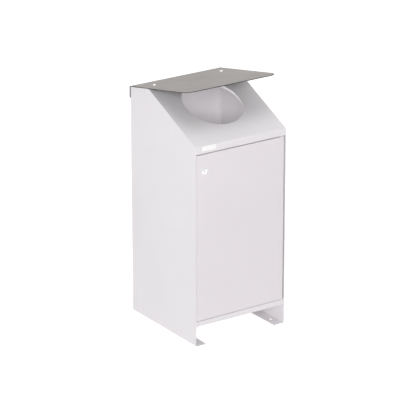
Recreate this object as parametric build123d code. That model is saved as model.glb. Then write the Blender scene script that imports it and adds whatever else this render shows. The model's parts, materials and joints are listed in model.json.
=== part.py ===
from build123d import *
import math
import os

# Outdoor recycling bin: a sheet steel cabinet with a pitched rain roof,
# a round opening in its sloped front, a locked door and a steel liner.
# The origin is on the ground under the middle, +Z is up and the front faces -Y.
# All sizes are millimetres and all angles are degrees.

# Cabinet shell
WIDTH = 450.0
DEPTH = 480.0
REAR_HEIGHT = 1004.0
FOLD_HEIGHT = 870.0
SLOPE_ANGLE = 25.0
SHEET = 2.0
BEND = 2.0
FRONT_SET = 1.0
SEAM_FLANGE = 15.0
CORNER_RELIEF = 4.0

# Feet, folded inwards from the side panels
FOOT_WIDTH = 52.0
ANCHOR_HOLE_R = 6.5
ANCHOR_INSET = 26.0
ANCHOR_SETBACK = 60.0

# Floor tray and its front rail
FLOOR_TOP = 109.0
RAIL_HEIGHT = 23.0
DRAIN_HOLE_R = 5.0
DRAIN_SPACING = 240.0

# Hood: lintel, sloped front with the opening, and deck under the roof
LINTEL_HEIGHT = 32.0
LINTEL_RETURN = 24.0
OPENING_R = 130.0
OPENING_UP_SLOPE = 228.0
OPENING_LIP = 10.0

# Roof plate
ROOF_SHEET = 3.0
ROOF_PITCH = 11.0
ROOF_RUN = 422.0
ROOF_OVERHANG = 3.0
ROOF_REAR_DROP = 50.0
ROOF_CORNER_R = 50.0

# Roof fasteners
ROOF_BOLT_R = 4.0
ROOF_BOLT_SPACING = 336.0
ROOF_BOLT_SETBACK = 95.0
BOLT_HEAD_R = 8.0
BOLT_DOME = 4.4
BOLT_HOLE_CLEARANCE = 0.5
WASHER_R = 8.5
WASHER_THICKNESS = 1.6
NUT_FLATS = 13.0
NUT_HEIGHT = 6.5
THREAD_PROUD = 2.0

# Door tray
DOOR_SHEET = 1.5
DOOR_BEND = 1.0
DOOR_DEPTH = 18.0
DOOR_LIP = 12.0
DOOR_TOP_GAP = 3.0
DOOR_BOTTOM_GAP = 3.0
DOOR_LOCK_GAP = 2.0
DOOR_HINGE_GAP = 6.0
STIFFENER_WIDTH = 50.0
STIFFENER_FOOT = 20.0
STIFFENER_DEPTH = 11.5
STIFFENER_END_GAP = 40.0

# Hinge pins and bushes
HINGE_INSET = 8.0
HINGE_SETBACK = 9.0
PIN_R = 4.0
PIN_FIT = 0.05
PIN_COLLAR_R = 6.0
PIN_COLLAR = 4.0
PIN_INSIDE = 12.0
PIN_OUTSIDE = 14.0
BUSH_R = 6.0
BUSH_FLANGE_R = 8.0
BUSH_BODY = 8.0
SEAT_GAP = 0.3

# Lock
LOCK_FROM_EDGE = 42.0
LOCK_BELOW_TOP = 72.0
LOCK_BEZEL_R = 14.0
LOCK_PROUD = 4.0
LOCK_BARREL_R = 9.0
LOCK_BARREL_REACH = 24.0
LOCK_CORE_R = 6.0
LOCK_CORE_RECESS = 1.0
LOCK_FIT = 0.05
KEY_POCKET_R = 4.6
KEY_POCKET_DEPTH = 6.0
KEY_TRIANGLE_R = 3.4
LOCK_NUT_FLATS = 24.0
LOCK_NUT_HEIGHT = 5.0
CAM_WIDTH = 18.0
CAM_LENGTH = 31.0
CAM_SHEET = 2.5
CAM_GAP = 0.3
CORE_SQUARE = 8.0
CAM_SCREW_FLATS = 8.0
CAM_SCREW_HEAD = 3.5

# Lock jamb behind the door's free edge, with its rubber bumpers
JAMB_SHEET = 1.5
JAMB_FACE = 18.0
JAMB_LEG = 25.0
JAMB_FROM_DOOR = 2.7
JAMB_END_GAP = 3.0
BUMPER_R = 5.0
BUMPER_INSET = 10.0
BUMPER_END = 60.0

# Liner
LINER_SIDE_GAP = 33.0
LINER_FRONT_GAP = 65.0
LINER_REAR_GAP = 33.0
LINER_HEIGHT = 640.0
LINER_WALL = 1.2
LINER_CORNER_R = 40.0
RIM_BEAD_R = 4.0
GUIDE_LEG = 20.0
GUIDE_SHEET = 1.5
GUIDE_LENGTH = 300.0
GUIDE_GAP = 2.0

# Bail handle of the liner
BAIL_R = 3.0
BAIL_DROP = 76.8
BAIL_BELOW_RIM = 30.0
BAIL_CORNER_R = 30.0
BAIL_HOOK_INSIDE = 10.0
BAIL_FIT = 0.05
BAIL_SIDE_GAP = 1.0
BAIL_WALL_CLEARANCE = 0.5
EAR_SIZE = 40.0
EAR_SHEET = 3.0
EAR_DROP = 6.0
EAR_RIVET_R = 2.0
EAR_RIVET_HEAD_R = 4.0
EAR_RIVET_HEAD = 1.6
EAR_RIVET_SPACING = 16.0
EAR_RIVET_DROP = 14.0

# Places worked out from the sizes above
FRONT = -DEPTH / 2
REAR = DEPTH / 2
INNER = WIDTH / 2 - SHEET
SLOPE_TAN = math.tan(math.radians(SLOPE_ANGLE))
SLOPE_COS = math.cos(math.radians(SLOPE_ANGLE))
SLOPE_SIN = math.sin(math.radians(SLOPE_ANGLE))
PITCH_TAN = math.tan(math.radians(ROOF_PITCH))
PITCH_COS = math.cos(math.radians(ROOF_PITCH))
PITCH_SIN = math.sin(math.radians(ROOF_PITCH))
OUTER_BEND = BEND + SHEET
FACE_Y = FRONT + FRONT_SET
LINTEL_BOTTOM = FOLD_HEIGHT - LINTEL_HEIGHT
DOOR_LEFT = -INNER + DOOR_LOCK_GAP
DOOR_RIGHT = INNER - DOOR_HINGE_GAP
DOOR_BOTTOM = FLOOR_TOP + DOOR_BOTTOM_GAP
DOOR_TOP = LINTEL_BOTTOM - DOOR_TOP_GAP
DOOR_BACK = FACE_Y + DOOR_DEPTH
DOOR_INSIDE = FACE_Y + DOOR_SHEET
HINGE_X = DOOR_RIGHT - HINGE_INSET
HINGE_Y = FACE_Y + HINGE_SETBACK
LOCK_X = DOOR_LEFT + LOCK_FROM_EDGE
LOCK_Z = DOOR_TOP - LOCK_BELOW_TOP
JAMB_Y = DOOR_BACK + JAMB_FROM_DOOR
LINER_WIDTH = 2 * (INNER - LINER_SIDE_GAP)
LINER_FRONT = FRONT + LINER_FRONT_GAP
LINER_REAR = REAR - SHEET - LINER_REAR_GAP
LINER_DEPTH = LINER_REAR - LINER_FRONT
LINER_Y = (LINER_FRONT + LINER_REAR) / 2
PIVOT_Z = FLOOR_TOP + LINER_HEIGHT - BAIL_BELOW_RIM
BAIL_HOOK_R = BAIL_SIDE_GAP + BAIL_R
BAIL_X = LINER_WIDTH / 2 + EAR_SHEET + BAIL_HOOK_R


def roof_line(y):
    """Height of the side panels' pitched top edge at a depth y."""
    return REAR_HEIGHT + PITCH_TAN * (REAR - y)


def slope_line(y, set_in):
    """Height of the sloped front at a depth y, set in square to its face."""
    return FOLD_HEIGHT + SLOPE_TAN * (y - FRONT) - set_in / SLOPE_COS


def slope_top_y(set_in):
    """Depth at which the sloped front meets the pitched top edge."""
    rise = REAR_HEIGHT + PITCH_TAN * REAR - slope_line(0.0, set_in)
    return rise / (SLOPE_TAN + PITCH_TAN)


# The slope plane's local Y runs up the sloped face from the fold
SLOPE_PLANE = Plane(
    origin=(0, FACE_Y, slope_line(FACE_Y, FRONT_SET)),
    x_dir=(1, 0, 0),
    z_dir=(0, -SLOPE_SIN, SLOPE_COS),
)

# The roof plane lies on the roof's top face and its local Y runs to the rear
ROOF_PLANE = Plane(
    origin=(0, REAR, REAR_HEIGHT + ROOF_SHEET / PITCH_COS),
    x_dir=(1, 0, 0),
    z_dir=(0, PITCH_SIN, PITCH_COS),
)


def bent_sheet(points, radii, thickness, side):
    """Section of a folded sheet whose skin follows the points."""
    skin = FilletPolyline(*points, radius=radii)
    return make_face(offset(skin, amount=thickness, side=side))


def along_x(section, half_width):
    """Extrude a section drawn in Y and Z, evenly to both sides."""
    return extrude(Plane.YZ.offset(-half_width) * section, amount=2 * half_width)


def along_z(section, low, high):
    """Extrude a section drawn in X and Y between two heights."""
    return extrude(Plane.XY.offset(low) * section, amount=high - low)


def block(x_span, y_span, z_span):
    """Box between two corners, each span given as low and high."""
    spans = (x_span, y_span, z_span)
    sizes = [high - low for low, high in spans]
    middles = [(high + low) / 2 for low, high in spans]
    return Pos(*middles) * Box(*sizes)


def rod(radius, low, high):
    """Cylinder on the local Z axis between two heights."""
    return Pos(0, 0, (low + high) / 2) * Cylinder(radius, high - low)


def hexagon(flats, low, high):
    """Hexagonal prism on the local Z axis between two heights."""
    corner_r = flats / math.sqrt(3)
    return Pos(0, 0, low) * extrude(RegularPolygon(corner_r, 6), amount=high - low)


def dome(radius, height):
    """Shallow domed head whose flat side lies on the local XY plane."""
    ball_r = (radius**2 + height**2) / (2 * height)
    half_turn = math.asin(radius / ball_r) / 2
    crown = (ball_r * math.sin(half_turn), ball_r * math.cos(half_turn) - ball_r + height)
    arc = ThreePointArc((radius, 0), crown, (0, height))
    base = Polyline((0, height), (0, 0), (radius, 0))
    return revolve(Plane.XZ * make_face([arc, base]), axis=Axis.Z)


def side_panel():
    """Left side panel: pentagonal sheet with a foot flange folded inwards."""
    top_y = slope_top_y(0.0)
    outline = make_face(
        Polyline(
            (FRONT, OUTER_BEND),
            (REAR, OUTER_BEND),
            (REAR, REAR_HEIGHT),
            (top_y, roof_line(top_y)),
            (FRONT, FOLD_HEIGHT),
            close=True,
        )
    )
    rear_corner = outline.vertices().sort_by(Axis.X)[-2:].sort_by(Axis.Y)[-1]
    outline = fillet(rear_corner, CORNER_RELIEF)
    wall = extrude(Plane.YZ.offset(-WIDTH / 2) * outline, amount=SHEET)
    foot = bent_sheet(
        [(-WIDTH / 2, 2 * OUTER_BEND), (-WIDTH / 2, 0), (FOOT_WIDTH - WIDTH / 2, 0)],
        OUTER_BEND,
        SHEET,
        Side.LEFT,
    )
    panel = wall + extrude(Plane.XZ.offset(FRONT) * foot, amount=DEPTH)
    for y in (FRONT + ANCHOR_SETBACK, REAR - ANCHOR_SETBACK):
        hole = rod(ANCHOR_HOLE_R, -SHEET, 2 * SHEET)
        panel -= Pos(ANCHOR_INSET - WIDTH / 2, y, 0) * hole
    return panel


def back_panel():
    """Back panel with seam flanges that stop clear of the floor and the deck."""
    inner_y = REAR - SHEET
    bottom = FLOOR_TOP - RAIL_HEIGHT
    top = REAR_HEIGHT - CORNER_RELIEF
    panel = block((-INNER, INNER), (inner_y, REAR), (bottom, top))
    section = bent_sheet(
        [
            (-INNER, REAR - SEAM_FLANGE),
            (-INNER, REAR),
            (INNER, REAR),
            (INNER, REAR - SEAM_FLANGE),
        ],
        OUTER_BEND,
        SHEET,
        Side.RIGHT,
    )
    flange_low = FLOOR_TOP + SEAM_FLANGE
    flange_high = REAR_HEIGHT - 3 * SEAM_FLANGE
    middle = block((-WIDTH, WIDTH), (FRONT, 2 * REAR), (flange_low, flange_high))
    return panel - middle + along_z(section, flange_low, flange_high)


def floor_panel():
    """Floor tray: front rail, rear and side flanges, drain and hinge holes."""
    section = bent_sheet(
        [
            (FACE_Y, FLOOR_TOP - RAIL_HEIGHT),
            (FACE_Y, FLOOR_TOP),
            (REAR - SHEET, FLOOR_TOP),
            (REAR - SHEET, FLOOR_TOP - SEAM_FLANGE),
        ],
        OUTER_BEND,
        SHEET,
        Side.RIGHT,
    )
    tray = along_x(section, INNER)
    flange_y = (FACE_Y + SEAM_FLANGE, REAR - SEAM_FLANGE)
    flange_z = (FLOOR_TOP - SEAM_FLANGE, FLOOR_TOP - SHEET)
    tray += block((-INNER, SHEET - INNER), flange_y, flange_z)
    tray += block((INNER - SHEET, INNER), flange_y, flange_z)
    drain = rod(DRAIN_HOLE_R, FLOOR_TOP - 2 * SHEET, FLOOR_TOP + SHEET)
    for spot in GridLocations(DRAIN_SPACING, DRAIN_SPACING, 2, 2):
        tray -= Pos(0, LINER_Y, 0) * spot * drain
    tray -= Pos(HINGE_X, HINGE_Y, 0) * rod(BUSH_R, FLOOR_TOP - BUSH_BODY, FLOOR_TOP + SHEET)
    return tray


def opening_lip():
    """Ring that turns the opening's edge inwards, on the slope plane."""
    land_r = OPENING_R + 2 * OUTER_BEND
    section = bent_sheet(
        [(land_r, 0), (OPENING_R, 0), (OPENING_R, -OPENING_LIP)],
        OUTER_BEND,
        SHEET,
        Side.LEFT,
    )
    return revolve(Plane.XZ * section, axis=Axis.Z)


def hood_panel():
    """One sheet folded into lintel, sloped front and deck, with the opening."""
    top_y = slope_top_y(FRONT_SET)
    deck_end = REAR - SHEET
    section = bent_sheet(
        [
            (FACE_Y + LINTEL_RETURN, LINTEL_BOTTOM),
            (FACE_Y, LINTEL_BOTTOM),
            (FACE_Y, slope_line(FACE_Y, FRONT_SET)),
            (top_y, roof_line(top_y)),
            (deck_end, roof_line(deck_end)),
        ],
        OUTER_BEND,
        SHEET,
        Side.RIGHT,
    )
    hood = along_x(section, INNER)
    slope_length = (top_y - FACE_Y) / SLOPE_COS
    seam = (2 * SEAM_FLANGE, slope_length - 2 * SEAM_FLANGE)
    for low in (-INNER, INNER - SHEET):
        flange = block((low, low + SHEET), seam, (-SEAM_FLANGE, -SHEET))
        hood += SLOPE_PLANE * flange
    opening = SLOPE_PLANE * Pos(0, OPENING_UP_SLOPE, 0)
    land_r = OPENING_R + 2 * OUTER_BEND
    hood -= opening * rod(land_r, -OPENING_LIP, OPENING_LIP)
    hood += opening * opening_lip()
    bolt_hole_r = ROOF_BOLT_R + BOLT_HOLE_CLEARANCE
    for place in roof_bolt_places():
        hood -= place * rod(bolt_hole_r, -2 * (ROOF_SHEET + SHEET), 0)
    bush_hole = rod(BUSH_R, LINTEL_BOTTOM - SHEET, LINTEL_BOTTOM + BUSH_BODY)
    return hood - Pos(HINGE_X, HINGE_Y, 0) * bush_hole


def roof_bolt_places():
    """Places of the two roof bolts on the roof's top face."""
    y = -ROOF_BOLT_SETBACK
    half = ROOF_BOLT_SPACING / 2
    return [ROOF_PLANE * Pos(x, y, 0) for x in (-half, half)]


def roof_plate():
    """Pitched rain roof with rounded front corners and a rear drop flange."""
    rear_y = REAR + ROOF_SHEET
    front_y = REAR - ROOF_RUN
    lift = ROOF_SHEET / PITCH_COS
    section = bent_sheet(
        [
            (rear_y, roof_line(rear_y) + lift - ROOF_REAR_DROP),
            (rear_y, roof_line(rear_y) + lift),
            (front_y, roof_line(front_y) + lift),
        ],
        BEND + ROOF_SHEET,
        ROOF_SHEET,
        Side.LEFT,
    )
    plate = along_x(section, WIDTH / 2 + ROOF_OVERHANG)
    upright = plate.edges().filter_by(lambda edge: abs(edge.length - ROOF_SHEET) < PIN_FIT)
    plate = fillet(upright.sort_by(Axis.Y)[:2], ROOF_CORNER_R)
    for place in roof_bolt_places():
        hole_r = ROOF_BOLT_R + BOLT_HOLE_CLEARANCE
        plate -= place * rod(hole_r, -2 * ROOF_SHEET, ROOF_SHEET)
    return plate


def roof_bolt():
    """Domed bolt whose head sits on the roof's top face."""
    stack = ROOF_SHEET + SHEET + WASHER_THICKNESS + NUT_HEIGHT
    return dome(BOLT_HEAD_R, BOLT_DOME) + rod(ROOF_BOLT_R, -stack - THREAD_PROUD, 0)


def roof_washer():
    """Washer under the deck."""
    top = -ROOF_SHEET - SHEET
    ring = rod(WASHER_R, top - WASHER_THICKNESS, top)
    return ring - rod(ROOF_BOLT_R, top - WASHER_THICKNESS, top)


def roof_nut():
    """Nut under the washer."""
    top = -ROOF_SHEET - SHEET - WASHER_THICKNESS
    nut = hexagon(NUT_FLATS, top - NUT_HEIGHT, top)
    return nut - rod(ROOF_BOLT_R, top - NUT_HEIGHT, top)


def at_roof_bolts(piece):
    """One copy of a fastener at each roof bolt."""
    return Compound(children=[place * piece for place in roof_bolt_places()])


def lock_jamb():
    """Upright angle behind the door's free edge, where the lock cam catches."""
    section = bent_sheet(
        [(-INNER, JAMB_Y + JAMB_LEG), (-INNER, JAMB_Y), (JAMB_FACE - INNER, JAMB_Y)],
        DOOR_BEND + JAMB_SHEET,
        JAMB_SHEET,
        Side.LEFT,
    )
    return along_z(section, FLOOR_TOP + JAMB_END_GAP, LINTEL_BOTTOM - JAMB_END_GAP)


def door_bumpers():
    """Two rubber discs on the jamb that the closed door rests against."""
    thickness = JAMB_FROM_DOOR - SEAT_GAP
    disc = Rot(90, 0, 0) * rod(BUMPER_R, 0, thickness)
    x = BUMPER_INSET - INNER
    heights = (DOOR_BOTTOM + BUMPER_END, DOOR_TOP - BUMPER_END / 2)
    return Compound(children=[Pos(x, JAMB_Y, z) * disc for z in heights])


def door_panel():
    """Door tray: flat front, returns on all four sides and two upright lips."""
    section = bent_sheet(
        [
            (DOOR_LEFT + DOOR_LIP, DOOR_BACK),
            (DOOR_LEFT, DOOR_BACK),
            (DOOR_LEFT, FACE_Y),
            (DOOR_RIGHT, FACE_Y),
            (DOOR_RIGHT, DOOR_BACK),
            (DOOR_RIGHT - DOOR_LIP, DOOR_BACK),
        ],
        DOOR_BEND + DOOR_SHEET,
        DOOR_SHEET,
        Side.LEFT,
    )
    tray = along_z(section, DOOR_BOTTOM, DOOR_TOP)
    span_x = (DOOR_LEFT + DOOR_SHEET, DOOR_RIGHT - DOOR_SHEET)
    span_y = (DOOR_INSIDE, DOOR_BACK)
    tray += block(span_x, span_y, (DOOR_BOTTOM, DOOR_BOTTOM + DOOR_SHEET))
    tray += block(span_x, span_y, (DOOR_TOP - DOOR_SHEET, DOOR_TOP))
    tray -= Pos(HINGE_X, HINGE_Y, 0) * rod(PIN_R, DOOR_BOTTOM - DOOR_SHEET, DOOR_TOP + DOOR_SHEET)
    return tray - lock_place() * rod(LOCK_BARREL_R, -DOOR_SHEET, 2 * DOOR_SHEET)


def door_stiffener():
    """Hat section that stiffens the middle of the door from inside."""
    half = STIFFENER_WIDTH / 2
    crown = DOOR_INSIDE + STIFFENER_DEPTH
    inner = DOOR_BEND
    outer = DOOR_BEND + DOOR_SHEET
    section = bent_sheet(
        [
            (-half - STIFFENER_FOOT, DOOR_INSIDE),
            (-half, DOOR_INSIDE),
            (-half, crown),
            (half, crown),
            (half, DOOR_INSIDE),
            (half + STIFFENER_FOOT, DOOR_INSIDE),
        ],
        [outer, inner, inner, outer],
        DOOR_SHEET,
        Side.LEFT,
    )
    low = DOOR_BOTTOM + STIFFENER_END_GAP
    high = DOOR_TOP - STIFFENER_END_GAP
    return along_z(section, low, high)


def hinge_pin():
    """Hinge pin on its door return, with the collar inside the door."""
    shank = rod(PIN_R, -PIN_OUTSIDE, DOOR_SHEET + PIN_INSIDE)
    return shank + rod(PIN_COLLAR_R, DOOR_SHEET, DOOR_SHEET + PIN_COLLAR)


def hinge_bush(door_gap):
    """Flanged bush whose flange fills the gap to the door, less the seat gap."""
    bush = rod(BUSH_R, -BUSH_BODY, 0) + rod(BUSH_FLANGE_R, 0, door_gap - SEAT_GAP)
    return bush - rod(PIN_R + PIN_FIT, -BUSH_BODY, door_gap)


def at_hinge(piece, height, upside_down):
    """Place a hinge piece on the hinge axis, turned over for the top one."""
    turn = 180 if upside_down else 0
    return Pos(HINGE_X, HINGE_Y, height) * Rot(turn, 0, 0) * piece


def lock_place():
    """Lock axis on the door's front face, local Z running into the cabinet."""
    return Pos(LOCK_X, FACE_Y, LOCK_Z) * Rot(-90, 0, 0)


def lock_barrel():
    """Round lock body with its bezel outside the door."""
    bezel = dome(LOCK_BEZEL_R, LOCK_PROUD)
    barrel = Rot(180, 0, 0) * bezel + rod(LOCK_BARREL_R, -LOCK_PROUD, LOCK_BARREL_REACH)
    return barrel - rod(LOCK_CORE_R + LOCK_FIT, -2 * LOCK_PROUD, LOCK_BARREL_REACH)


def lock_nut():
    """Hexagonal nut that clamps the barrel to the door sheet."""
    nut = hexagon(LOCK_NUT_FLATS, DOOR_SHEET, DOOR_SHEET + LOCK_NUT_HEIGHT)
    return nut - rod(LOCK_BARREL_R, DOOR_SHEET, DOOR_SHEET + LOCK_NUT_HEIGHT)


def lock_core():
    """Turning core: triangular key post in a round pocket, square rear end."""
    face = LOCK_CORE_RECESS - LOCK_PROUD
    floor = face + KEY_POCKET_DEPTH
    core = rod(LOCK_CORE_R, face, LOCK_BARREL_REACH) - rod(KEY_POCKET_R, face, floor)
    post = extrude(RegularPolygon(KEY_TRIANGLE_R, 3), amount=floor - face)
    core += Pos(0, 0, face) * post
    tail = CAM_GAP + CAM_SHEET
    return core + Pos(0, 0, LOCK_BARREL_REACH + tail / 2) * Box(CORE_SQUARE, CORE_SQUARE, tail)


def lock_cam():
    """Flat cam on the core's square end, hanging down when unlocked."""
    arm = SlotCenterToCenter(CAM_LENGTH, CAM_WIDTH, rotation=90)
    plate = Pos(0, CAM_LENGTH / 2, 0) * arm - Rectangle(CORE_SQUARE, CORE_SQUARE)
    return Pos(0, 0, LOCK_BARREL_REACH + CAM_GAP) * extrude(plate, amount=CAM_SHEET)


def cam_screw():
    """Hexagonal screw head that holds the cam on the core."""
    low = LOCK_BARREL_REACH + CAM_GAP + CAM_SHEET
    head = hexagon(CAM_SCREW_FLATS, low + WASHER_THICKNESS, low + WASHER_THICKNESS + CAM_SCREW_HEAD)
    return head + rod(LOCK_CORE_R, low, low + WASHER_THICKNESS)


def liner():
    """Open-topped sheet container with rounded corners and a rolled rim."""
    walls = 2 * LINER_WALL
    inner_r = LINER_CORNER_R - LINER_WALL
    outside = RectangleRounded(LINER_WIDTH, LINER_DEPTH, LINER_CORNER_R)
    inside = RectangleRounded(LINER_WIDTH - walls, LINER_DEPTH - walls, inner_r)
    shell = extrude(outside, amount=LINER_HEIGHT)
    shell -= Pos(0, 0, LINER_WALL) * extrude(inside, amount=LINER_HEIGHT)
    middle_r = LINER_CORNER_R - LINER_WALL / 2
    route = RectangleRounded(LINER_WIDTH - LINER_WALL, LINER_DEPTH - LINER_WALL, middle_r)
    rim = route.wire()
    bead = sweep(Plane(origin=rim @ 0, z_dir=rim % 0) * Circle(RIM_BEAD_R), path=rim)
    shell += Pos(0, 0, LINER_HEIGHT) * bead
    hook_hole = Rot(0, 90, 0) * rod(BAIL_R + BAIL_WALL_CLEARANCE, -LINER_WIDTH, LINER_WIDTH)
    shell -= Pos(0, 0, LINER_HEIGHT - BAIL_BELOW_RIM) * hook_hole
    for x, y in ear_rivet_places():
        height = LINER_HEIGHT - BAIL_BELOW_RIM - EAR_RIVET_DROP
        shell -= Pos(x, y, height) * Rot(0, 90, 0) * rod(EAR_RIVET_R, -LINER_WALL, LINER_WALL)
    return Pos(0, LINER_Y, FLOOR_TOP) * shell


def ear_rivet_places():
    """X at the liner's wall faces and Y of the four ear rivets."""
    half = LINER_WIDTH / 2
    spread = EAR_RIVET_SPACING / 2
    return [(x, y) for x in (-half, half) for y in (-spread, spread)]


def ear_plate(sign):
    """Plate on the liner's wall that carries one end of the bail."""
    low = sign * LINER_WIDTH / 2
    span_x = sorted((low, low + sign * EAR_SHEET))
    span_z = (-EAR_SIZE / 2 - EAR_DROP, EAR_SIZE / 2 - EAR_DROP)
    plate = block(span_x, (-EAR_SIZE / 2, EAR_SIZE / 2), span_z)
    plate -= Rot(0, 90, 0) * rod(BAIL_R + BAIL_FIT, -LINER_WIDTH, LINER_WIDTH)
    for x, y in ear_rivet_places():
        hole = Rot(0, 90, 0) * rod(EAR_RIVET_R, -2 * EAR_SHEET, 2 * EAR_SHEET)
        plate -= Pos(x, y, -EAR_RIVET_DROP) * hole
    return Pos(0, LINER_Y, PIVOT_Z) * plate


def ear_rivets():
    """Four domed rivets through the ears and the liner's walls."""
    rivets = []
    for x, y in ear_rivet_places():
        turn = 90 if x > 0 else -90
        rivet = dome(EAR_RIVET_HEAD_R, EAR_RIVET_HEAD) + rod(EAR_RIVET_R, -EAR_SHEET - LINER_WALL, 0)
        seat = Pos(x + math.copysign(EAR_SHEET, x), y, -EAR_RIVET_DROP)
        rivets.append(Pos(0, LINER_Y, PIVOT_Z) * seat * Rot(0, turn, 0) * rivet)
    return Compound(children=rivets)


def liner_bail():
    """Bail wire that hooks into both ears and hangs against the liner's front."""
    reach = LINER_DEPTH / 2 + BAIL_R + SEAT_GAP
    arm = math.hypot(reach, BAIL_DROP)
    plane = Plane(
        origin=(0, LINER_Y, PIVOT_Z),
        x_dir=(1, 0, 0),
        z_dir=(0, BAIL_DROP, -reach),
    )
    hook_x = LINER_WIDTH / 2 - BAIL_HOOK_INSIDE
    route = FilletPolyline(
        (-hook_x, 0),
        (-BAIL_X, 0),
        (-BAIL_X, arm),
        (BAIL_X, arm),
        (BAIL_X, 0),
        (hook_x, 0),
        radius=[BAIL_HOOK_R, BAIL_CORNER_R, BAIL_CORNER_R, BAIL_HOOK_R],
    )
    section = Plane(origin=route @ 0, z_dir=route % 0) * Circle(BAIL_R)
    return plane * sweep(section, path=route)


def liner_guide():
    """Left angle that keeps the liner in line on the floor."""
    x = -LINER_WIDTH / 2 - GUIDE_GAP
    section = bent_sheet(
        [(x - GUIDE_LEG, FLOOR_TOP), (x, FLOOR_TOP), (x, FLOOR_TOP + GUIDE_LEG)],
        DOOR_BEND + GUIDE_SHEET,
        GUIDE_SHEET,
        Side.LEFT,
    )
    start = Plane.XZ.offset(-LINER_Y - GUIDE_LENGTH / 2)
    return extrude(start * section, amount=GUIDE_LENGTH)


left_side = side_panel()
left_guide = liner_guide()
pin = hinge_pin()

nodes = {
    "left_side_panel": left_side,
    "right_side_panel": mirror(left_side, about=Plane.YZ),
    "back_panel": back_panel(),
    "floor_panel": floor_panel(),
    "hood_panel": hood_panel(),
    "roof_plate": roof_plate(),
    "roof_bolts": at_roof_bolts(roof_bolt()),
    "roof_washers": at_roof_bolts(roof_washer()),
    "roof_nuts": at_roof_bolts(roof_nut()),
    "lock_jamb": lock_jamb(),
    "door_bumpers": door_bumpers(),
    "bottom_hinge_bush": at_hinge(hinge_bush(DOOR_BOTTOM_GAP), FLOOR_TOP, False),
    "top_hinge_bush": at_hinge(hinge_bush(DOOR_TOP_GAP), LINTEL_BOTTOM, True),
    "liner": liner(),
    "left_liner_guide": left_guide,
    "right_liner_guide": mirror(left_guide, about=Plane.YZ),
    "left_liner_ear": ear_plate(-1),
    "right_liner_ear": ear_plate(1),
    "liner_ear_rivets": ear_rivets(),
    "liner_bail": liner_bail(),
    "door_panel": door_panel(),
    "door_stiffener": door_stiffener(),
    "bottom_hinge_pin": at_hinge(pin, DOOR_BOTTOM, False),
    "top_hinge_pin": at_hinge(pin, DOOR_TOP, True),
    "lock_barrel": lock_place() * lock_barrel(),
    "lock_nut": lock_place() * lock_nut(),
    "lock_core": lock_place() * lock_core(),
    "lock_cam": lock_place() * lock_cam(),
    "cam_screw": lock_place() * cam_screw(),
}

os.makedirs("parts", exist_ok=True)
for name, shape in nodes.items():
    export_step(shape, f"parts/{name}.step")
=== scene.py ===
import json
import math

import bmesh
import bpy
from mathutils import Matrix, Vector


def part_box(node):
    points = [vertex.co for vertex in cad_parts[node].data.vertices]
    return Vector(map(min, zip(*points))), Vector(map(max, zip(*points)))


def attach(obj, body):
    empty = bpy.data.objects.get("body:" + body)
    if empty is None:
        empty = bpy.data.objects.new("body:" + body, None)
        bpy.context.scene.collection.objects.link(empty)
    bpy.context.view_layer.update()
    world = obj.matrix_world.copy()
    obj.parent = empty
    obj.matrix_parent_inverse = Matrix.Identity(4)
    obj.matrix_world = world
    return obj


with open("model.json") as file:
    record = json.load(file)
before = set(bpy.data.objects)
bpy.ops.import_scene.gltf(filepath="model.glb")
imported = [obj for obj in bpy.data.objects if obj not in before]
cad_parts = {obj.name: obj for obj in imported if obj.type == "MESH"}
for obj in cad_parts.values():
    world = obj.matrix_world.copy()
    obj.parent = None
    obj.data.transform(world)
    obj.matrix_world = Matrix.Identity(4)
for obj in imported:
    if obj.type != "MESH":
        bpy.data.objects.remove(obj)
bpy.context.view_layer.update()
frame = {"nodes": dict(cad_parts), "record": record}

# Camera, fitted to the photograph's edges
CAMERA_AZIMUTH = math.radians(-34.47)
CAMERA_ELEVATION = math.radians(20.58)
CAMERA_DISTANCE = 10.704
CAMERA_TARGET = Vector((0.0079, 0.0115, 0.4871))
FRAME_PIXELS = 416
FOCAL_PIXELS = 2550.5
SENSOR_WIDTH = 36.0

# Finishes, as linear colours
CABINET_LIGHT = (0.785, 0.758, 0.780)
CABINET_DARK = (0.755, 0.730, 0.752)
DOOR_LIGHT = (0.765, 0.724, 0.750)
DOOR_DARK = (0.740, 0.700, 0.726)
ROOF_LIGHT = (0.355, 0.326, 0.312)
ROOF_DARK = (0.322, 0.296, 0.284)
# Near-black painted shade for the roof's faces turned away from the up-and-back axis, which are
# its cut edges and underside. The axis and limit below pick those faces.
ROOF_PAINTED_SHADE = (0.030, 0.028, 0.027)
ROOF_LIT_AXIS = (0, 1, 1)
ROOF_LIT_LIMIT = 0.5
ZINC_LIGHT = (0.62, 0.62, 0.60)
ZINC_DARK = (0.45, 0.46, 0.46)
SPANGLE_LIGHT = (0.62, 0.64, 0.66)
SPANGLE_DARK = (0.46, 0.48, 0.50)
NYLON_LIGHT = (0.72, 0.70, 0.64)
NYLON_DARK = (0.66, 0.64, 0.58)
RUBBER_LIGHT = (0.040, 0.040, 0.042)
RUBBER_DARK = (0.022, 0.022, 0.024)
CHROME_LIGHT = (0.78, 0.78, 0.79)
CHROME_DARK = (0.70, 0.70, 0.72)
LABEL_LIGHT = (0.93, 0.93, 0.93)
LABEL_DARK = (0.90, 0.90, 0.90)

# Roughness of each finish, from its low to its high spots
CABINET_ROUGH = (0.42, 0.52)
DOOR_ROUGH = (0.40, 0.50)
ROOF_ROUGH = (0.45, 0.55)
LABEL_ROUGH = (0.25, 0.35)
BRIGHT_ROUGH = (0.16, 0.26)
LOCK_ROUGH = (0.12, 0.22)
ZINC_ROUGH = (0.35, 0.50)
SPANGLE_ROUGH = (0.34, 0.55)
NYLON_ROUGH = (0.40, 0.50)
RUBBER_ROUGH = (0.65, 0.80)

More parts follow.
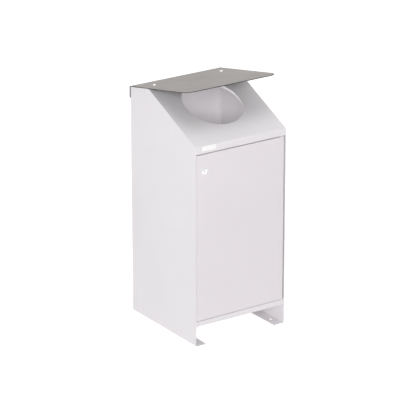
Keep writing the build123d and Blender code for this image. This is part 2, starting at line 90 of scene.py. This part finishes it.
# Grain of the finishes, as noise scale and detail
NOISE_SPAN = (0.3, 0.7)
CLOUD_GRAIN = (2.5, 3.0)
PEEL_GRAIN = (650.0, 2.0)
SMEAR_GRAIN = (9.0, 4.0)
STREAK_GRAIN = (60.0, 3.0)
STREAK_STRETCH = (1.0, 1.0, 0.1)
PLASTIC_GRAIN = (900.0, 2.0)
SPANGLE_SCALE = 75.0
SPANGLE_METAL = 0.9

# Relief of the finishes, as strength and depth in metres
PEEL_RELIEF = (0.25, 0.0002)
STREAK_RELIEF = (0.08, 0.0001)
SPANGLE_RELIEF = (0.1, 0.0002)
PLASTIC_RELIEF = (0.2, 0.0001)

# Blank label on the left of the lintel
LABEL_LENGTH = 0.068
LABEL_HEIGHT = 0.020
LABEL_THICKNESS = 0.0004
LABEL_CORNER = 0.002
LABEL_CORNER_STEPS = 6
LABEL_FROM_LEFT = 0.030
LABEL_ABOVE_DOOR = 0.015

# Light and surroundings
LAMP_AIM = Vector((0, 0, 0.6))
WORLD_LIGHT = 0.48
FLOOR_SIZE = 60.0
FLOOR_COLOUR = (0.90, 0.90, 0.90)
FLOOR_GLOW = 0.62
KEY_DISTANCE = 8.0
KEY_SIZE = 2.0
KEY_POWER = 264.0
INSIDE_PLACE = (-0.12, -0.14, 0.82)
INSIDE_AIM = (0.06, 0.20, 0.88)
INSIDE_SIZE = 0.15
INSIDE_POWER = 0.46
UNDER_PLACE = (-0.10, -0.12, 0.055)
UNDER_AIM = (0.22, -0.08, 0.045)
UNDER_SIZE = 0.06
UNDER_POWER = 0.16
LEFT_PLACE = (-6.0, 0.5, 2.5)
LEFT_SIZE = 3.0
LEFT_POWER = 50.0
TOP_PLACE = (-0.5, -1.0, 6.0)
TOP_SIZE = 3.0
TOP_POWER = 72.0


def new_material(name):
    """Empty node material with its output, shader and object coordinates."""
    material = bpy.data.materials.new(name)
    material.use_nodes = True
    tree = material.node_tree
    tree.nodes.clear()
    output = tree.nodes.new("ShaderNodeOutputMaterial")
    shader = tree.nodes.new("ShaderNodeBsdfPrincipled")
    tree.links.new(shader.outputs["BSDF"], output.inputs["Surface"])
    place = tree.nodes.new("ShaderNodeTexCoord")
    return material, tree, shader, place.outputs["Object"]


def noise(tree, place, scale, detail):
    """Noise value over the object's own coordinates."""
    node = tree.nodes.new("ShaderNodeTexNoise")
    node.inputs["Scale"].default_value = scale
    node.inputs["Detail"].default_value = detail
    tree.links.new(place, node.inputs["Vector"])
    return node.outputs["Fac"]


def stretched(tree, place, scale):
    """Object coordinates scaled unevenly, for grain that runs one way."""
    node = tree.nodes.new("ShaderNodeMapping")
    node.inputs["Scale"].default_value = scale
    tree.links.new(place, node.inputs["Vector"])
    return node.outputs["Vector"]


def between(tree, value, dark, light):
    """Colour between two tones, led by a value around a half."""
    ramp = tree.nodes.new("ShaderNodeValToRGB")
    ramp.color_ramp.elements[0].position = NOISE_SPAN[0]
    ramp.color_ramp.elements[1].position = NOISE_SPAN[1]
    ramp.color_ramp.elements[0].color = (*dark, 1.0)
    ramp.color_ramp.elements[1].color = (*light, 1.0)
    tree.links.new(value, ramp.inputs["Fac"])
    return ramp.outputs["Color"]


def spread(tree, value, low, high):
    """Value around a half spread between two limits."""
    node = tree.nodes.new("ShaderNodeMapRange")
    node.inputs["From Min"].default_value = NOISE_SPAN[0]
    node.inputs["From Max"].default_value = NOISE_SPAN[1]
    node.inputs["To Min"].default_value = low
    node.inputs["To Max"].default_value = high
    tree.links.new(value, node.inputs["Value"])
    return node.outputs["Result"]


def bump(tree, shader, value, strength, depth):
    """Small relief on the shader's normal."""
    node = tree.nodes.new("ShaderNodeBump")
    node.inputs["Strength"].default_value = strength
    node.inputs["Distance"].default_value = depth
    tree.links.new(value, node.inputs["Height"])
    tree.links.new(node.outputs["Normal"], shader.inputs["Normal"])


def powder_coat(name, light, dark, rough):
    """Powder coat: faint cloudy tone, fine orange peel and even half gloss."""
    material, tree, shader, place = new_material(name)
    cloud = noise(tree, place, *CLOUD_GRAIN)
    tree.links.new(between(tree, cloud, dark, light), shader.inputs["Base Color"])
    peel = noise(tree, place, *PEEL_GRAIN)
    bump(tree, shader, peel, *PEEL_RELIEF)
    smear = noise(tree, place, *SMEAR_GRAIN)
    result = spread(tree, smear, *rough)
    tree.links.new(result, shader.inputs["Roughness"])
    return material


def roof_coat_painted_shade():
    """The roof's powder coat, with a near-black painted shade on the faces turned away from the
    light: the plate's cut edges and underside.
    """
    material = powder_coat("roof_coat_painted_shade", ROOF_LIGHT, ROOF_DARK, ROOF_ROUGH)
    tree = material.node_tree
    shader = next(node for node in tree.nodes if node.type == "BSDF_PRINCIPLED")
    lit_face_tone = shader.inputs["Base Color"].links[0].from_socket
    place = tree.nodes.new("ShaderNodeTexCoord")
    facing = tree.nodes.new("ShaderNodeVectorMath")
    facing.operation = "DOT_PRODUCT"
    facing.inputs[1].default_value = ROOF_LIT_AXIS
    tree.links.new(place.outputs["Normal"], facing.inputs[0])
    # Mask of the faces that get the painted shade: those turned less than the limit towards the
    # up-and-back axis.
    painted_shade_mask = tree.nodes.new("ShaderNodeMath")
    painted_shade_mask.operation = "LESS_THAN"
    painted_shade_mask.inputs[1].default_value = ROOF_LIT_LIMIT
    tree.links.new(facing.outputs["Value"], painted_shade_mask.inputs[0])
    # On those faces the roof's tone is swapped for the painted shade.
    tone = tree.nodes.new("ShaderNodeMixRGB")
    tone.inputs["Color2"].default_value = (*ROOF_PAINTED_SHADE, 1)
    tree.links.new(painted_shade_mask.outputs[0], tone.inputs["Fac"])
    tree.links.new(lit_face_tone, tone.inputs["Color1"])
    tree.links.new(tone.outputs["Color"], shader.inputs["Base Color"])
    return material


def plated_metal(name, light, dark, rough):
    """Plated metal with a fine grain along the object's height."""
    material, tree, shader, place = new_material(name)
    streak = noise(tree, stretched(tree, place, STREAK_STRETCH), *STREAK_GRAIN)
    tree.links.new(between(tree, streak, dark, light), shader.inputs["Base Color"])
    shader.inputs["Metallic"].default_value = 1.0
    result = spread(tree, streak, *rough)
    tree.links.new(result, shader.inputs["Roughness"])
    bump(tree, shader, streak, *STREAK_RELIEF)
    return material


def galvanised(name):
    """Hot-dip zinc with its crystal spangle."""
    material, tree, shader, place = new_material(name)
    cells = tree.nodes.new("ShaderNodeTexVoronoi")
    cells.inputs["Scale"].default_value = SPANGLE_SCALE
    tree.links.new(place, cells.inputs["Vector"])
    grey = tree.nodes.new("ShaderNodeRGBToBW")
    tree.links.new(cells.outputs["Color"], grey.inputs["Color"])
    tone = between(tree, grey.outputs["Val"], SPANGLE_DARK, SPANGLE_LIGHT)
    tree.links.new(tone, shader.inputs["Base Color"])
    shader.inputs["Metallic"].default_value = SPANGLE_METAL
    result = spread(tree, grey.outputs["Val"], *SPANGLE_ROUGH)
    tree.links.new(result, shader.inputs["Roughness"])
    bump(tree, shader, grey.outputs["Val"], *SPANGLE_RELIEF)
    return material


def soft_plastic(name, light, dark, rough):
    """Moulded nylon or rubber with a fine matt grain."""
    material, tree, shader, place = new_material(name)
    grain = noise(tree, place, *PLASTIC_GRAIN)
    tree.links.new(between(tree, grain, dark, light), shader.inputs["Base Color"])
    result = spread(tree, grain, *rough)
    tree.links.new(result, shader.inputs["Roughness"])
    bump(tree, shader, grain, *PLASTIC_RELIEF)
    return material


def dress_nodes():
    """Give every CAD node the finish of its material slot."""
    finishes = {
        "cabinet_paint": powder_coat("cabinet_coat", CABINET_LIGHT, CABINET_DARK, CABINET_ROUGH),
        "door_paint": powder_coat("door_coat", DOOR_LIGHT, DOOR_DARK, DOOR_ROUGH),
        "roof_paint": roof_coat_painted_shade(),
        "bright_fasteners": plated_metal("bright_steel", CHROME_LIGHT, CHROME_DARK, BRIGHT_ROUGH),
        "lock_chrome": plated_metal("lock_nickel", CHROME_LIGHT, CHROME_DARK, LOCK_ROUGH),
        "zinc_steel": plated_metal("zinc_plate", ZINC_LIGHT, ZINC_DARK, ZINC_ROUGH),
        "galvanised": galvanised("liner_zinc"),
        "nylon": soft_plastic("bush_nylon", NYLON_LIGHT, NYLON_DARK, NYLON_ROUGH),
        "black_rubber": soft_plastic("bumper_rubber", RUBBER_LIGHT, RUBBER_DARK, RUBBER_ROUGH),
    }
    slots = {part["node"]: part["material_slot"] for part in frame["record"]["subparts"]}
    for node, thing in frame["nodes"].items():
        for slot in thing.material_slots:
            slot.material = finishes[slots[node]]


def rounded_plate(name, length, height, thickness, corner):
    """Thin plate with rounded corners, upright and facing the front."""
    steps = LABEL_CORNER_STEPS
    mesh = bmesh.new()
    ring = []
    for quarter in range(4):
        side_x = 1 if quarter in (0, 3) else -1
        side_z = 1 if quarter in (0, 1) else -1
        for step in range(steps + 1):
            turn = math.radians(90 * (quarter + step / steps))
            x = side_x * (length / 2 - corner) + corner * math.cos(turn)
            z = side_z * (height / 2 - corner) + corner * math.sin(turn)
            ring.append(mesh.verts.new((x, 0, z)))
    face = mesh.faces.new(ring)
    grown = bmesh.ops.extrude_face_region(mesh, geom=[face])["geom"]
    front = [item for item in grown if isinstance(item, bmesh.types.BMVert)]
    bmesh.ops.translate(mesh, verts=front, vec=(0, -thickness, 0))
    bmesh.ops.recalc_face_normals(mesh, faces=mesh.faces)
    data = bpy.data.meshes.new(name)
    mesh.to_mesh(data)
    mesh.free()
    plate = bpy.data.objects.new(name, data)
    bpy.context.collection.objects.link(plate)
    return plate


def blank_label():
    """Blank label that stands where the photograph's bin carries one."""
    hood_low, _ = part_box("hood_panel")
    _, door_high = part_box("door_panel")
    plate = rounded_plate("blank_label", LABEL_LENGTH, LABEL_HEIGHT, LABEL_THICKNESS, LABEL_CORNER)
    plate.location = (
        hood_low[0] + LABEL_FROM_LEFT + LABEL_LENGTH / 2,
        hood_low[1],
        door_high[2] + LABEL_ABOVE_DOOR + LABEL_HEIGHT / 2,
    )
    bpy.context.view_layer.update()
    plate.data.transform(plate.matrix_world)
    plate.location = (0, 0, 0)
    plate.data.materials.append(powder_coat("label_film", LABEL_LIGHT, LABEL_DARK, LABEL_ROUGH))
    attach(plate, "cabinet")


def seen_by_eye(tree):
    """One for camera, mirror and glass rays, nought for the rays that light."""
    path = tree.nodes.new("ShaderNodeLightPath")
    total = path.outputs["Is Camera Ray"]
    for name in ("Is Glossy Ray", "Is Transmission Ray"):
        most = tree.nodes.new("ShaderNodeMath")
        most.operation = "MAXIMUM"
        tree.links.new(total, most.inputs[0])
        tree.links.new(path.outputs[name], most.inputs[1])
        total = most.outputs[0]
    return total


def surroundings():
    """White world and a pale floor that keeps the object's shadow."""
    world = bpy.data.worlds.new("studio")
    bpy.context.scene.world = world
    world.use_nodes = True
    tree = world.node_tree
    tree.nodes.clear()
    output = tree.nodes.new("ShaderNodeOutputWorld")
    shown = tree.nodes.new("ShaderNodeBackground")
    shown.inputs["Color"].default_value = (1, 1, 1, 1)
    shown.inputs["Strength"].default_value = 1.0
    light = tree.nodes.new("ShaderNodeBackground")
    light.inputs["Color"].default_value = (1, 1, 1, 1)
    light.inputs["Strength"].default_value = WORLD_LIGHT
    mix = tree.nodes.new("ShaderNodeMixShader")
    tree.links.new(seen_by_eye(tree), mix.inputs["Fac"])
    tree.links.new(light.outputs[0], mix.inputs[1])
    tree.links.new(shown.outputs[0], mix.inputs[2])
    tree.links.new(mix.outputs[0], output.inputs["Surface"])

    bpy.ops.mesh.primitive_plane_add(size=FLOOR_SIZE)
    floor = bpy.context.object
    floor.name = "floor"
    material = bpy.data.materials.new("floor_white")
    material.use_nodes = True
    tree = material.node_tree
    tree.nodes.clear()
    output = tree.nodes.new("ShaderNodeOutputMaterial")
    matt = tree.nodes.new("ShaderNodeBsdfDiffuse")
    matt.inputs["Color"].default_value = (*FLOOR_COLOUR, 1)
    glow = tree.nodes.new("ShaderNodeEmission")
    strength = tree.nodes.new("ShaderNodeMath")
    strength.operation = "MULTIPLY"
    strength.inputs[1].default_value = FLOOR_GLOW
    tree.links.new(seen_by_eye(tree), strength.inputs[0])
    tree.links.new(strength.outputs[0], glow.inputs["Strength"])
    both = tree.nodes.new("ShaderNodeAddShader")
    tree.links.new(matt.outputs[0], both.inputs[0])
    tree.links.new(glow.outputs[0], both.inputs[1])
    tree.links.new(both.outputs[0], output.inputs["Surface"])
    floor.data.materials.append(material)


def soft_lamp(name, place, aim, size, power):
    """Large square area lamp aimed at a point."""
    lamp = bpy.data.lights.new(name, "AREA")
    lamp.size = size
    lamp.energy = power
    thing = bpy.data.objects.new(name, lamp)
    bpy.context.collection.objects.link(thing)
    thing.location = place
    thing.rotation_euler = (Vector(aim) - Vector(place)).to_track_quat("-Z", "Y").to_euler()


def lamps():
    """Lamp at the camera, weak ones left and overhead, inside and underneath."""
    soft_lamp("under", UNDER_PLACE, UNDER_AIM, UNDER_SIZE, UNDER_POWER)
    soft_lamp("inside", INSIDE_PLACE, INSIDE_AIM, INSIDE_SIZE, INSIDE_POWER)
    soft_lamp("key", LAMP_AIM + view_direction() * KEY_DISTANCE, LAMP_AIM, KEY_SIZE, KEY_POWER)
    soft_lamp("left", LEFT_PLACE, LAMP_AIM, LEFT_SIZE, LEFT_POWER)
    soft_lamp("top", TOP_PLACE, LAMP_AIM, TOP_SIZE, TOP_POWER)


def view_direction():
    """Direction from the object to the camera."""
    return Vector((
        math.sin(CAMERA_AZIMUTH) * math.cos(CAMERA_ELEVATION),
        -math.cos(CAMERA_AZIMUTH) * math.cos(CAMERA_ELEVATION),
        math.sin(CAMERA_ELEVATION),
    ))


def camera():
    """Long-lens camera at the photograph's viewing angle."""
    back = view_direction()
    data = bpy.data.cameras.new("camera")
    data.sensor_width = SENSOR_WIDTH
    data.lens = FOCAL_PIXELS / FRAME_PIXELS * SENSOR_WIDTH
    data.clip_end = 10 * CAMERA_DISTANCE
    thing = bpy.data.objects.new("camera", data)
    bpy.context.collection.objects.link(thing)
    thing.location = CAMERA_TARGET + back * CAMERA_DISTANCE
    thing.rotation_euler = (-back).to_track_quat("-Z", "Y").to_euler()
    bpy.context.scene.camera = thing


camera()
surroundings()
lamps()
dress_nodes()
blank_label()
bpy.context.scene.view_settings.view_transform = "Standard"
